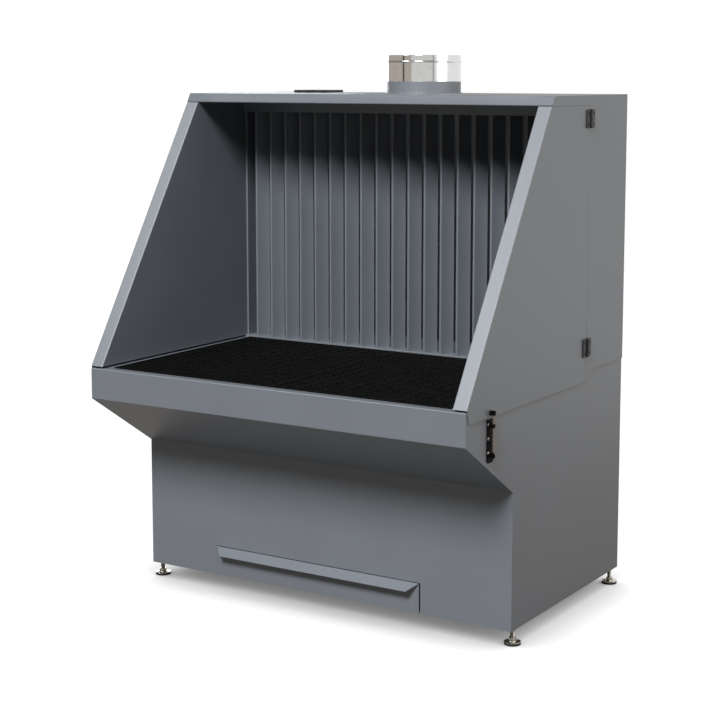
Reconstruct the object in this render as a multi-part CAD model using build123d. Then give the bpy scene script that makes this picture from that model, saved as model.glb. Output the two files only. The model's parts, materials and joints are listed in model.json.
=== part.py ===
from build123d import *
import os

# Downdraft extraction table: a folded sheet-steel base with two lift-out
# gratings, a louvred suction wall, two hinged side wings that bolt down
# to the base, a roof with a round duct outlet, a dust drawer and four
# levelling feet. Lengths are in millimetres, X to the right, Y to the
# rear, Z up, with the origin on the floor under the middle of the table.

# Driving dimensions
cabinet_width = 1520
cabinet_depth = 1206
housing_depth = 324
worktop_height = 852
roof_top_height = 1821
ground_gap = 55
sheet = 2
bend_radius = 4
weld_gap = 1
seat_gap = 0.5

# Base: lip, slope and plinth
lip_face_height = 111
plinth_setback = 329
slope_foot_height = 530
lip_flange = 35
rail_flange = 74
floor_upturn = 25

# Gratings and the frame that carries them
grating_height = 30
grating_drop = 3
grating_clearance = 2
bearing_bar = 3
bar_pitch = 45
cross_rod = 6
cross_pitch = 140
frame_leg = 3
frame_ledge = 24
beam_width = 44
beam_height = 50

# Dust hopper
hopper_top_drop = 10
hopper_outlet_rise = 10
hopper_rear_gap = 21
hopper_outlet_rear_gap = 71
hopper_outlet_inset = 25

# Drawer
drawer_width = 862
drawer_offset = -23
drawer_front_height = 107
drawer_gap = 3
drawer_lip_reach = 37
drawer_lip_drop = 17
drawer_box_depth = 560
drawer_box_height = 88
drawer_box_lift = 7
drawer_box_inset = 16
drawer_sheet = 1.5
drawer_clearance = 0.4
runner_height = 40
runner_side_gap = 2
runner_ledge = 18
runner_foot = 20

# Wings
wing_thickness = 52
wing_proud = 3
wing_skirt_drop = 41
wing_skirt_setback = 17
wing_floor_gap = 3
wing_roof_gap = 1.5
wing_jamb_gap = 1.5

# Roof and rear housing
roof_edge_height = 34
roof_overhang = 305
roof_return = 22
jamb_return = 37
header_height = 75
suction_lead = 11
sill_height = 18
sill_reach = 56
sill_front_reach = 9

# Louvred suction wall
slat_count = 19
slat_margin = 52.65
slat_nose = 9
slat_return = 8
slat_slot = 22
slat_rake_depth = 25
slat_sheet = 1.5
post_recess = 35
post_gap = 5
post_return = 24

# Duct outlet and roof cover
duct_radius = 140
duct_rear_inset = 154
collar_height = 44
collar_wall = 2
collar_flange = 8
nipple_height = 98
nipple_wall = 1.5
nipple_insert = 30
nipple_fit = 0.05
bead_height = 74
bead_width = 6
bead_reach = 2.5
cover_width = 146
cover_depth = 146
cover_height = 10
cover_side_inset = 283
cover_rear_inset = 156
cover_corner = 12

# Wing hinges
hinge_height = 65
hinge_leaf = 32
leaf_thickness = 5
knuckle_radius = 6
pin_radius = 3.5
pin_fit = 0.05
knuckle_gap = 0.4
middle_knuckle_share = 0.4
leaf_corner = 4
hinge_upper_drop = 47
hinge_lower_rise = 83

# Bolt latches
bolt_setback = 153
bolt_plate_width = 28
bolt_plate_thickness = 3
bolt_plate_length = 142
bolt_plate_gap = 5
bolt_rod_radius = 4.5
bolt_rod_lift = 6
bolt_rod_offset = 6
bolt_rod_length = 117
bolt_rod_gap = 3
bolt_knob_drop = 91
bolt_knob_radius = 3.5
bolt_knob_reach = 36
bolt_guide_height = 12
bolt_guide_wall = 2.5
bolt_fit = 0.08
bolt_clearance = 0.4
bolt_guide_foot_inset = 24
bolt_guide_head_inset = 20
keeper_drop = 32
keeper_height = 14

# Levelling feet
foot_pad_radius = 29
foot_pad_height = 13
foot_rubber_height = 5
foot_neck_radius = 11
foot_side_inset = 15
foot_end_inset = 40
spindle_radius = 8
spindle_fit = 0.08
spindle_length = 108
foot_hex_radius = 13
foot_hex_height = 9
foot_block_width = 44
foot_block_height = 12
floor_hole_clearance = 2
overrun = 20

# Places worked out from the driving dimensions
half_width = cabinet_width / 2
y_front = -cabinet_depth / 2
y_rear = cabinet_depth / 2
y_plinth = y_front + plinth_setback
y_hinge = y_rear - housing_depth
y_suction = y_hinge - suction_lead
y_roof_front = y_hinge - roof_overhang
lip_foot_height = worktop_height - lip_face_height
rail_inner = half_width - rail_flange
skin_outer = half_width + wing_proud
skin_inner = skin_outer - sheet
wing_inner = skin_outer - wing_thickness
roof_edge_foot = roof_top_height - roof_edge_height
roof_underside = roof_top_height - sheet
y_jamb = y_hinge + wing_jamb_gap / 2
y_wing_rear = y_hinge - wing_jamb_gap / 2
slant = (y_roof_front - y_front) / (roof_edge_foot - worktop_height)
sill_top = worktop_height + sill_height
header_foot = roof_underside - header_height + sheet
grating_top = worktop_height - grating_drop
grating_foot = grating_top - grating_height
hinge_axis_x = skin_outer + knuckle_radius
drawer_top = ground_gap + drawer_front_height
drawer_left = drawer_offset - drawer_width / 2
drawer_right = drawer_offset + drawer_width / 2
y_duct = y_rear - duct_rear_inset
hinge_heights = (
    worktop_height + hinge_lower_rise,
    roof_edge_foot - hinge_upper_drop,
)
slat_field = 2 * (wing_inner - slat_margin)
slat_pitch = slat_field / slat_count
bolt_plate_head = worktop_height - wing_skirt_drop - bolt_plate_gap
bolt_plate_foot = bolt_plate_head - bolt_plate_length
keeper_foot = worktop_height - keeper_drop
bolt_rod_head = keeper_foot - bolt_rod_gap
bolt_rod_foot = bolt_rod_head - bolt_rod_length
bolt_knob_height = bolt_rod_head - bolt_knob_drop
bolt_guide_heights = (
    bolt_plate_foot + bolt_guide_foot_inset,
    bolt_plate_head - bolt_guide_head_inset,
)
hopper_top_height = slope_foot_height - hopper_top_drop
hopper_outlet_height = drawer_top + hopper_outlet_rise
foot_x = half_width - foot_side_inset
foot_places = (
    (y_plinth + foot_end_inset, "front"),
    (y_rear - foot_end_inset, "rear"),
)
frame_front = y_front + lip_flange
frame_rear = y_suction - sill_front_reach


def y_on_slant(z):
    """Depth of the slanted front plane of wings and roof at height z."""
    return y_front + (z - worktop_height) * slant


def block(x0, x1, y0, y1, z0, z1):
    """A rectangular block between two corners."""
    middle = ((x0 + x1) / 2, (y0 + y1) / 2, (z0 + z1) / 2)
    return Pos(*middle) * Box(x1 - x0, y1 - y0, z1 - z0)


def side_plate(outline, x0, x1):
    """Extrude a face drawn in (Y, Z) from x0 to x1."""
    return extrude(Plane.YZ.offset(x0) * outline, amount=x1 - x0)


def plan_plate(outline, z0, z1):
    """Extrude a face drawn in (X, Y) from z0 to z1."""
    return extrude(Plane.XY.offset(z0) * outline, amount=z1 - z0)


def polygon(*points):
    """A sharp-cornered face."""
    return make_face(Polyline(*points, close=True))


def folded(points, side=Side.LEFT, thickness=sheet, radius=bend_radius):
    """Section of a sheet folded along a path, its bends rounded."""
    path = FilletPolyline(*points, radius=radius)
    return make_face(offset(path, amount=thickness, side=side))


def mirrored(shape):
    """The same piece for the other side of the table."""
    return mirror(shape, about=Plane.YZ)


def base_outline():
    """Side view of the base: lip, slope, plinth and rear."""
    points = (
        (y_front, worktop_height),
        (y_front, lip_foot_height),
        (y_plinth, slope_foot_height),
        (y_plinth, ground_gap),
        (y_rear, ground_gap),
        (y_rear, worktop_height),
    )
    rear_corners = points[3:]
    bends = [0 if corner in rear_corners else bend_radius for corner in points]
    return make_face(FilletPolyline(*points, radius=bends, close=True))


def base_front_panel():
    """One folded sheet: top flange, lip, slope and plinth front."""
    path = (
        (y_front + lip_flange, worktop_height),
        (y_front, worktop_height),
        (y_front, lip_foot_height),
        (y_plinth, slope_foot_height),
        (y_plinth, ground_gap),
    )
    panel = side_plate(folded(path), -half_width, half_width)
    notch = block(
        drawer_left - drawer_gap,
        drawer_right + drawer_gap,
        y_plinth - overrun,
        y_plinth + overrun,
        ground_gap - overrun,
        drawer_top + drawer_gap,
    )
    return panel - notch


def base_side_right():
    """Side wall with the inward top flange that the wing closes on."""
    inner = offset(base_outline(), amount=-sheet, kind=Kind.INTERSECTION)
    wall = side_plate(inner, half_width - sheet, half_width)
    foot_strip = block(
        half_width - sheet,
        half_width,
        y_plinth + sheet,
        y_rear - sheet,
        ground_gap,
        ground_gap + sheet,
    )
    flange = block(
        rail_inner,
        half_width,
        y_front + lip_flange,
        y_rear - sheet,
        worktop_height - sheet,
        worktop_height,
    )
    return wall + foot_strip + flange


def base_rear_panel():
    """Flat rear wall of the base."""
    return block(
        -half_width, half_width, y_rear - sheet, y_rear, ground_gap, worktop_height
    )


def base_floor():
    """Floor tray with upturned edges, open under the drawer front."""
    edge = half_width - sheet
    front = y_plinth + sheet
    rear = y_rear - sheet
    top = ground_gap + sheet
    tray = block(-edge, edge, front, rear, ground_gap, top + floor_upturn)
    tray -= block(
        -edge + sheet,
        edge - sheet,
        front + sheet,
        rear - sheet,
        top,
        top + floor_upturn,
    )
    opening_left = drawer_left - drawer_gap
    opening_right = drawer_right + drawer_gap
    tray -= block(
        opening_left,
        opening_right,
        front,
        front + sheet,
        top,
        top + floor_upturn,
    )
    tray -= block(
        opening_left,
        opening_right,
        front,
        front + weld_gap,
        ground_gap,
        top,
    )
    for y, _end in foot_places:
        for x in (-foot_x, foot_x):
            opening = 2 * (spindle_radius + floor_hole_clearance)
            tray -= Pos(x, y, ground_gap) * Box(opening, opening, overrun)
    return tray


def foot_blocks():
    """Threaded blocks on the floor that hold the foot spindles."""
    blocks = []
    top = ground_gap + sheet
    edge = half_width - 2 * sheet
    for y, _end in foot_places:
        for side in (-1, 1):
            low, high = sorted((side * edge, side * (edge - foot_block_width)))
            half = foot_block_width / 2
            one = block(low, high, y - half, y + half, top, top + foot_block_height)
            bore = Cylinder(spindle_radius + spindle_fit, 2 * overrun)
            blocks.append(one - Pos(side * foot_x, y, top) * bore)
    return blocks


def foot():
    """Levelling foot about its own axis, its rubber face on the floor."""
    disc_top = foot_rubber_height + (foot_pad_height - foot_rubber_height) / 2
    profile = (
        (0, 0),
        (foot_pad_radius, 0),
        (foot_pad_radius, disc_top),
        (foot_neck_radius, foot_pad_height),
        (0, foot_pad_height),
    )
    dish = revolve(Plane.XZ * polygon(*profile), Axis.Z)
    hexagon = RegularPolygon(foot_hex_radius, 6, major_radius=True)
    nut = plan_plate(hexagon, foot_pad_height, foot_pad_height + foot_hex_height)
    shank = Cylinder(
        spindle_radius,
        spindle_length - foot_pad_height,
        align=(Align.CENTER, Align.CENTER, Align.MIN),
    )
    return [dish, nut + Pos(0, 0, foot_pad_height) * shank]


def grating_frame():
    """Angle frame round the opening, with the ledge for the gratings."""
    leg_outer = rail_inner + frame_leg
    leg_top = worktop_height - sheet
    foot = grating_foot - frame_leg
    outer = block(
        -leg_outer,
        leg_outer,
        frame_front - frame_leg,
        frame_rear + frame_leg,
        foot,
        leg_top,
    )
    well = block(
        -rail_inner, rail_inner, frame_front, frame_rear, grating_foot, leg_top
    )
    mouth = block(
        -rail_inner + frame_ledge,
        rail_inner - frame_ledge,
        frame_front + frame_ledge,
        frame_rear - frame_ledge,
        foot - overrun,
        leg_top,
    )
    return outer - well - mouth


def grating_beam():
    """Channel under the seam between the two gratings."""
    section = (
        (-beam_width / 2, grating_foot - beam_height),
        (-beam_width / 2, grating_foot),
        (beam_width / 2, grating_foot),
        (beam_width / 2, grating_foot - beam_height),
    )
    face = folded(section, Side.RIGHT)
    front = frame_front + frame_ledge
    length = frame_rear - frame_ledge - front
    return extrude(Plane.XZ.offset(-front) * face, amount=-length)


def grating_right():
    """Welded grating: bearing bars left to right, flush cross rods."""
    x0 = grating_clearance / 2
    x1 = rail_inner - grating_clearance
    y0 = frame_front + grating_clearance
    y1 = frame_rear - grating_clearance
    mat = block(x0, x1, y0, y1, grating_foot, grating_top)
    mat -= block(
        x0 + bearing_bar,
        x1 - bearing_bar,
        y0 + bearing_bar,
        y1 - bearing_bar,
        grating_foot,
        grating_top,
    )
    bars = max(1, round((y1 - y0) / bar_pitch))
    step = (y1 - y0 - bearing_bar) / bars
    for index in range(1, bars):
        y = y0 + index * step
        mat += block(x0, x1, y, y + bearing_bar, grating_foot, grating_top)
    rods = max(1, round((x1 - x0) / cross_pitch))
    reach = (x1 - x0 - cross_rod) / rods
    for index in range(1, rods):
        x = x0 + index * reach
        mat += block(x, x + cross_rod, y0, y1, grating_top - cross_rod, grating_top)
    return mat


def dust_hopper():
    """Four-sided chute from the base walls down to the drawer."""
    front = y_plinth + sheet
    rear_top = y_suction - hopper_rear_gap
    rear_foot = y_suction - hopper_outlet_rear_gap
    edge = half_width - sheet

    def funnel(inset):
        across = polygon(
            (drawer_left + hopper_outlet_inset + inset, hopper_outlet_height),
            (drawer_right - hopper_outlet_inset - inset, hopper_outlet_height),
            (edge - inset, hopper_top_height),
            (-edge + inset, hopper_top_height),
        )
        along = polygon(
            (front + inset, hopper_outlet_height),
            (rear_foot - inset, hopper_outlet_height),
            (rear_top - inset, hopper_top_height),
            (front + inset, hopper_top_height),
        )
        wedge = extrude(Plane.XZ.offset(-front) * across, amount=front - rear_top)
        return wedge & side_plate(along, -edge, edge)

    return funnel(0) - funnel(sheet)


def drawer_front():
    """Drawer front whose top edge folds out into a trimmed grip lip."""
    back = y_plinth + sheet
    path = (
        (back, ground_gap + weld_gap),
        (back, drawer_top),
        (back - drawer_lip_reach, drawer_top - drawer_lip_drop),
    )
    front = side_plate(folded(path), drawer_left, drawer_right)
    for side, end in ((-1, drawer_left), (1, drawer_right)):
        beyond = end + side * overrun
        tip = end - side * drawer_lip_reach
        corner = polygon(
            (end, y_plinth),
            (beyond, y_plinth - overrun),
            (beyond, back - drawer_lip_reach - overrun),
            (tip, back - drawer_lip_reach - overrun),
            (tip, back - drawer_lip_reach),
        )
        front -= plan_plate(corner, ground_gap, drawer_top + overrun)
    return front


def drawer_box():
    """Open tray behind the drawer front."""
    left = drawer_left + drawer_box_inset
    right = drawer_right - drawer_box_inset
    front = y_plinth + sheet
    foot = ground_gap + sheet + drawer_box_lift
    rear = front + drawer_box_depth
    top = foot + drawer_box_height
    box = block(left, right, front, rear, foot, top)
    return box - block(
        left + drawer_sheet,
        right - drawer_sheet,
        front + drawer_sheet,
        rear - drawer_sheet,
        foot + drawer_sheet,
        top,
    )


def drawer_runners():
    """Two folded guides on the floor that the drawer slides along."""
    floor = ground_gap + sheet
    web = drawer_right - drawer_box_inset + runner_side_gap
    ledge = floor + drawer_box_lift - drawer_clearance
    front = y_plinth + 2 * sheet
    length = drawer_box_depth
    right = block(
        web, web + sheet, front, front + length, floor, floor + runner_height
    )
    right += block(
        web - runner_ledge, web, front, front + length, ledge - sheet, ledge
    )
    right += block(
        web, web + runner_foot, front, front + length, floor, floor + sheet
    )
    return [right, mirror(right, about=Plane.YZ.offset(drawer_offset))]


def wing_outline():
    """Side view of a wing above the base, slanted at the front."""
    foot = worktop_height + wing_floor_gap
    top = roof_edge_foot - wing_roof_gap
    return polygon(
        (y_on_slant(foot), foot),
        (y_on_slant(top), top),
        (y_wing_rear, top),
        (y_wing_rear, foot),
    )


def wing_right_outer():
    """Outer skin: web, folded edges all round and the skirt below."""
    outline = wing_outline()
    inner = offset(outline, amount=-sheet, kind=Kind.INTERSECTION)
    tray = side_plate(outline, wing_inner + sheet, skin_outer)
    tray -= side_plate(inner, wing_inner + sheet, skin_inner)
    front_edge = (
        tray.edges()
        .filter_by(lambda e: abs(e.center().X - skin_outer) < sheet / 4)
        .sort_by(Axis.Y)[0]
    )
    tray = fillet(front_edge, bend_radius)
    foot = worktop_height + wing_floor_gap
    skirt_foot = worktop_height - wing_skirt_drop
    skirt = polygon(
        (y_on_slant(foot) + bend_radius, foot + bend_radius),
        (y_on_slant(foot) + bend_radius, foot),
        (y_front + wing_skirt_setback, skirt_foot),
        (y_wing_rear, skirt_foot),
        (y_wing_rear, foot + bend_radius),
    )
    return tray + side_plate(skirt, skin_inner, skin_outer)


def wing_right_inner():
    """Inner skin that closes the wing towards the work space."""
    return side_plate(wing_outline(), wing_inner, wing_inner + sheet)


def roof_section():
    """Side view of the folded roof: top, slanted front edge and return."""
    y_foot = y_on_slant(roof_edge_foot)
    path = (
        (y_rear, roof_top_height),
        (y_on_slant(roof_top_height), roof_top_height),
        (y_foot, roof_edge_foot),
        (y_foot + roof_return, roof_edge_foot),
    )
    return folded(path)


def housing_side_right():
    """Side of the rear housing: the jamb that the wing meets and an arm over it."""
    path = (
        (skin_outer, y_rear - sheet),
        (skin_outer, y_jamb),
        (wing_inner, y_jamb),
        (wing_inner, y_jamb + jamb_return),
    )
    side = plan_plate(folded(path, Side.RIGHT), worktop_height, roof_underside)
    arm_rear = y_jamb + bend_radius
    outline = polygon(
        (y_on_slant(roof_top_height), roof_top_height),
        (y_on_slant(roof_edge_foot), roof_edge_foot),
        (arm_rear, roof_edge_foot),
        (arm_rear, roof_top_height),
    )
    arm = (outline - roof_section()).faces().sort_by(SortBy.AREA)[-1]
    return side + side_plate(arm, skin_inner, skin_outer)


def housing_rear_panel():
    """Rear wall of the housing."""
    return block(
        -skin_outer, skin_outer, y_rear - sheet, y_rear, worktop_height, roof_underside
    )


def roof_panel():
    """Folded roof over the whole width, with the duct hole."""
    roof = side_plate(roof_section(), -skin_outer, skin_outer)
    hole = Cylinder(duct_radius - collar_wall, overrun)
    return roof - Pos(0, y_duct, roof_top_height) * hole


def header_panel():
    """Panel over the louvres, folded back above their heads."""
    path = (
        (y_suction + sill_reach, header_foot),
        (y_suction, header_foot),
        (y_suction, roof_underside),
    )
    half = wing_inner - seat_gap
    return side_plate(folded(path, Side.RIGHT), -half, half)


def slat_sill():
    """Folded sill that the louvres and posts stand on."""
    front = y_suction - sill_front_reach
    rear = y_suction + sill_reach
    foot = worktop_height
    path = ((front, foot), (front, sill_top), (rear, sill_top), (rear, foot))
    half = wing_inner - seat_gap
    return side_plate(folded(path, Side.RIGHT), -half, half)


def slat(index):
    """One louvre: a nose with a short return and a raked-back face."""
    left = (index - slat_count / 2) * slat_pitch
    nose = y_suction
    tail = left + slat_pitch - slat_slot
    path = (
        (left, nose + slat_return),
        (left, nose),
        (left + slat_nose, nose),
        (tail, nose + slat_rake_depth),
    )
    section = folded(path, Side.LEFT, slat_sheet, 0)
    return plan_plate(section, sill_top, header_foot)


def housing_posts():
    """Recessed posts that close the wall beside the outer louvres."""
    inner = slat_field / 2 + post_gap
    face = y_suction + post_recess
    path = (
        (wing_inner, face),
        (inner, face),
        (inner, face + post_return),
    )
    section = folded(path, Side.RIGHT, slat_sheet, 0)
    right = plan_plate(section, sill_top, header_foot)
    return [right, mirrored(right)]


def duct_collar():
    """Painted collar welded to the roof round the duct hole."""
    z0 = roof_top_height
    inner = duct_radius - collar_wall
    profile = (
        (inner, z0),
        (duct_radius + collar_flange, z0),
        (duct_radius + collar_flange, z0 + sheet),
        (duct_radius, z0 + sheet),
        (duct_radius, z0 + collar_height),
        (inner, z0 + collar_height),
    )
    ring = revolve(Plane.XZ * polygon(*profile), Axis.Z)
    return Pos(0, y_duct, 0) * ring


def duct_nipple():
    """Galvanised nipple pushed into the collar, with a rolled bead."""
    z0 = roof_top_height + collar_height
    plug = duct_radius - collar_wall - nipple_fit
    bead = z0 + bead_height
    top = z0 + nipple_height
    outline = polygon(
        (duct_radius, bead - bead_width / 2),
        (duct_radius, z0),
        (plug, z0),
        (plug, z0 - nipple_insert),
        (plug - nipple_wall, z0 - nipple_insert),
        (plug - nipple_wall, top),
        (duct_radius, top),
        (duct_radius, bead + bead_width / 2),
        (duct_radius + bead_reach, bead),
    )
    return Pos(0, y_duct, 0) * revolve(Plane.XZ * outline, Axis.Z)


def roof_cover():
    """Low black cover over the spare opening in the roof."""
    x = -half_width + cover_side_inset
    y = y_rear - cover_rear_inset
    plate = Box(cover_width, cover_depth, cover_height)
    plate = fillet(plate.edges().filter_by(Axis.Z), cover_corner)
    lift = roof_top_height + cover_height / 2
    return Pos(x, y, lift) * plate


def hinge_leaf_pair(direction):
    """Fixed (rearward, +1) or moving (forward, -1) leaves, right side."""
    middle = hinge_height * middle_knuckle_share / 2
    spans = ((-middle, middle),)
    if direction > 0:
        half = hinge_height / 2
        spans = ((-half, -middle - knuckle_gap), (middle + knuckle_gap, half))
    near = y_hinge + direction * (knuckle_radius + knuckle_gap)
    far = y_hinge + direction * hinge_leaf
    low, high = sorted((near, far))
    plate = block(
        skin_outer,
        skin_outer + leaf_thickness,
        low,
        high,
        -hinge_height / 2,
        hinge_height / 2,
    )
    corners = plate.edges().filter_by(Axis.X).sort_by(Axis.Y)
    ends = corners[-2:] if direction > 0 else corners[:2]
    plate = chamfer(ends, leaf_corner)
    for z0, z1 in spans:
        root_low, root_high = sorted((near, y_hinge))
        plate += block(
            hinge_axis_x - knuckle_radius,
            skin_outer + leaf_thickness,
            root_low,
            root_high,
            z0,
            z1,
        )
        roll = Pos(hinge_axis_x, y_hinge, (z0 + z1) / 2)
        plate += roll * Cylinder(knuckle_radius, z1 - z0)
    bore_radius = pin_radius + (pin_fit if direction < 0 else 0)
    bore = Pos(hinge_axis_x, y_hinge, 0) * Cylinder(bore_radius, 2 * hinge_height)
    leaf = plate - bore
    return [Pos(0, 0, height) * leaf for height in hinge_heights]


def hinge_pins():
    """The four hinge pins."""
    pin = Cylinder(pin_radius, hinge_height)
    return [
        Pos(side * hinge_axis_x, y_hinge, height) * pin
        for side in (-1, 1)
        for height in hinge_heights
    ]


def bolt_centre():
    """Depth of the bolt rod's axis and its distance from the side wall."""
    y = y_front + bolt_setback + bolt_rod_offset
    x = half_width + bolt_plate_thickness + bolt_rod_lift + bolt_rod_radius
    return x, y


def guide_loop(x_foot, z0, z1):
    """Loop round the bolt rod, from the face at x_foot outwards."""
    x, y = bolt_centre()
    wall = bolt_rod_radius + bolt_guide_wall
    loop = block(x_foot, x, y - wall, y + wall, z0, z1)
    loop += Pos(x, y, (z0 + z1) / 2) * Cylinder(wall, z1 - z0)
    bore = Cylinder(bolt_rod_radius + bolt_fit, 2 * (z1 - z0))
    return loop - Pos(x, y, (z0 + z1) / 2) * bore


def bolt_plate_right():
    """Latch plate with a rounded foot and two guides for the rod."""
    x0 = half_width
    x1 = half_width + bolt_plate_thickness
    y = y_front + bolt_setback
    half = bolt_plate_width / 2
    plate = block(x0, x1, y - half, y + half, bolt_plate_foot + half, bolt_plate_head)
    toe = Rot(0, 90, 0) * Cylinder(half, bolt_plate_thickness)
    plate += Pos((x0 + x1) / 2, y, bolt_plate_foot + half) * toe
    for height in bolt_guide_heights:
        reach = bolt_guide_height / 2
        plate += guide_loop(x1 - sheet / 2, height - reach, height + reach)
    return plate


def bolt_keeper_right():
    """Square-holed keeper on the wing skirt that the rod shoots up into."""
    x, y = bolt_centre()
    wall = bolt_rod_radius + bolt_guide_wall
    hole = 2 * (bolt_rod_radius + bolt_clearance)
    head = keeper_foot + keeper_height
    keeper = block(skin_outer, x + wall, y - wall, y + wall, keeper_foot, head)
    corners = keeper.edges().filter_by(Axis.Z).sort_by(Axis.X)[-2:]
    keeper = chamfer(corners, bolt_guide_wall)
    return keeper - Pos(x, y, keeper_foot) * Box(hole, hole, 4 * keeper_height)


def bolt_rod_right():
    """Sliding rod with its side knob, drawn down out of the keeper."""
    x, y = bolt_centre()
    length = bolt_rod_head - bolt_rod_foot
    middle = (bolt_rod_head + bolt_rod_foot) / 2
    rod = Pos(x, y, middle) * Cylinder(bolt_rod_radius, length)
    knob = Rot(-90, 0, 0) * Cylinder(
        bolt_knob_radius,
        bolt_knob_reach,
        align=(Align.CENTER, Align.CENTER, Align.MIN),
    )
    return rod + Pos(x, y, bolt_knob_height) * knob


def all_pieces():
    """Every node of the table, by name."""
    wing_leaves = hinge_leaf_pair(-1)
    fixed_leaves = hinge_leaf_pair(1)
    pieces = {
        "base_front_panel": [base_front_panel()],
        "base_side_right": [base_side_right()],
        "base_side_left": [mirrored(base_side_right())],
        "base_rear_panel": [base_rear_panel()],
        "base_floor": [base_floor()],
        "foot_blocks": foot_blocks(),
        "grating_frame": [grating_frame()],
        "grating_beam": [grating_beam()],
        "grating_right": [grating_right()],
        "grating_left": [mirrored(grating_right())],
        "dust_hopper": [dust_hopper()],
        "drawer_front": [drawer_front()],
        "drawer_box": [drawer_box()],
        "drawer_runners": drawer_runners(),
        "wing_right_outer": [wing_right_outer()],
        "wing_left_outer": [mirrored(wing_right_outer())],
        "wing_right_inner": [wing_right_inner()],
        "wing_left_inner": [mirrored(wing_right_inner())],
        "housing_side_right": [housing_side_right()],
        "housing_side_left": [mirrored(housing_side_right())],
        "housing_rear_panel": [housing_rear_panel()],
        "housing_posts": housing_posts(),
        "roof_panel": [roof_panel()],
        "roof_cover": [roof_cover()],
        "header_panel": [header_panel()],
        "slat_sill": [slat_sill()],
        "duct_collar": [duct_collar()],
        "duct_nipple": [duct_nipple()],
        "wing_right_hinge_leaves": wing_leaves,
        "wing_left_hinge_leaves": [mirrored(leaf) for leaf in wing_leaves],
        "hinge_fixed_leaves": fixed_leaves + [mirrored(leaf) for leaf in fixed_leaves],
        "hinge_pins": hinge_pins(),
        "bolt_plates": [bolt_plate_right(), mirrored(bolt_plate_right())],
        "bolt_rod_right": [bolt_rod_right()],
        "bolt_rod_left": [mirrored(bolt_rod_right())],
        "wing_right_keeper": [bolt_keeper_right()],
        "wing_left_keeper": [mirrored(bolt_keeper_right())],
    }
    for index in range(slat_count):
        pieces[f"slat_{index + 1:02d}"] = [slat(index)]
    for y, end in foot_places:
        for x, side in ((-foot_x, "left"), (foot_x, "right")):
            pieces[f"foot_{end}_{side}"] = [Pos(x, y, 0) * one for one in foot()]
    return pieces


os.makedirs("parts", exist_ok=True)
for name, solids in all_pieces().items():
    node = solids[0] if len(solids) == 1 else Compound(children=solids)
    export_step(node, f"parts/{name}.step")
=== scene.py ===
import json
import math

import bmesh
import bpy
from bpy.props import FloatProperty, FloatVectorProperty, IntProperty, PointerProperty
from mathutils import Matrix, Vector


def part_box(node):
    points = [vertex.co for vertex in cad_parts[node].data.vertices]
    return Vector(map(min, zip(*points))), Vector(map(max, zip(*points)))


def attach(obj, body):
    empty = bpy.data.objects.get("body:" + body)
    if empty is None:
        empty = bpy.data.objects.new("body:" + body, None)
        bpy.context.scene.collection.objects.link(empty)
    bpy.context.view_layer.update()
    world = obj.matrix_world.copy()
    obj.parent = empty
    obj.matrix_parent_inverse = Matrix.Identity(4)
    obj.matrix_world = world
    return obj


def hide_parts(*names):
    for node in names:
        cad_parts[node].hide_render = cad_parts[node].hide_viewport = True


bl_info = {
    "name": "Downdraft Table",
    "version": (1, 0, 0),
    "blender": (4, 5, 0),
    "location": "3D View > Sidebar > Downdraft Table",
    "description": "Dresses the packed downdraft table and sets up its studio",
    "category": "Object",
}

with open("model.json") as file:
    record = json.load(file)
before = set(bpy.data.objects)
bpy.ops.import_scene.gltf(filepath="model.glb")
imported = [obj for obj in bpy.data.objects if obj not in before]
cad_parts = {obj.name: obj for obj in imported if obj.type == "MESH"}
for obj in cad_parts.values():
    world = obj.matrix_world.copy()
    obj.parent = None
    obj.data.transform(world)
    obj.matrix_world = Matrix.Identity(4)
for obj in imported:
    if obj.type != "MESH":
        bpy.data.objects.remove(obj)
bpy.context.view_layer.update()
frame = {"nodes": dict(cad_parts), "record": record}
NODES = frame["nodes"]
MM = 0.001


# Properties


def linear(hex_colour):
    """An sRGB hex colour as linear RGBA."""
    channels = [int(hex_colour[i : i + 2], 16) / 255 for i in (1, 3, 5)]
    light = [
        c / 12.92 if c <= 0.04045 else ((c + 0.055) / 1.055) ** 2.4 for c in channels
    ]
    return (*light, 1.0)


def length(name, description, default, least, most):
    """A length property, with its values in millimetres."""
    return FloatProperty(
        name=name,
        description=description,
        default=default * MM,
        min=least * MM,
        max=most * MM,
        unit="LENGTH",
    )


def colour(name, description, hex_colour):
    """A colour property."""
    return FloatVectorProperty(
        name=name,
        description=description,
        subtype="COLOR",
        size=4,
        min=0,
        max=1,
        default=linear(hex_colour),
    )


def power(name, description, watts):
    """A property for the power of a light."""
    return FloatProperty(
        name=name, description=description, default=watts, min=0, subtype="POWER"
    )


class TableSizes(bpy.types.PropertyGroup):
    """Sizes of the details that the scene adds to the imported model."""

    edge_round: length(
        "Wing edge radius", "Radius of the folded front edges of the wings", 4, 0.5, 12
    )
    small_round: length(
        "Panel edge radius", "Radius left by the coating on sheet edges", 1.2, 0.2, 4
    )
    louvre_bend: length(
        "Louvre bend radius", "Outer radius of the folds of a louvre", 2.6, 1.6, 4
    )
    louvre_nose: length(
        "Louvre nose width", "Width of the flat front edge of a louvre", 8, 6, 15
    )
    louvre_width: length(
        "Louvre width", "Width of a louvre from its nose to its tail", 36, 25, 60
    )
    louvre_rake: length(
        "Louvre rake", "Depth by which a louvre's tail lies behind its nose", 46, 15, 60
    )
    bar_pitch: length(
        "Grating bar pitch", "Distance between the bearing bars", 30, 15, 60
    )
    bar_stand: length(
        "Grating stand", "Height of the bars over the packed grating", 7, 0, 12
    )
    rod_pitch: length(
        "Grating rod pitch", "Distance between the twisted cross rods", 50, 25, 120
    )
    rivet_radius: length(
        "Rivet head radius", "Radius of the domed rivet heads", 5, 1, 8
    )
    round_steps: IntProperty(
        name="Steps of a round",
        description="Number of sides of the large round pieces",
        default=96,
        min=24,
        max=192,
    )


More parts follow.
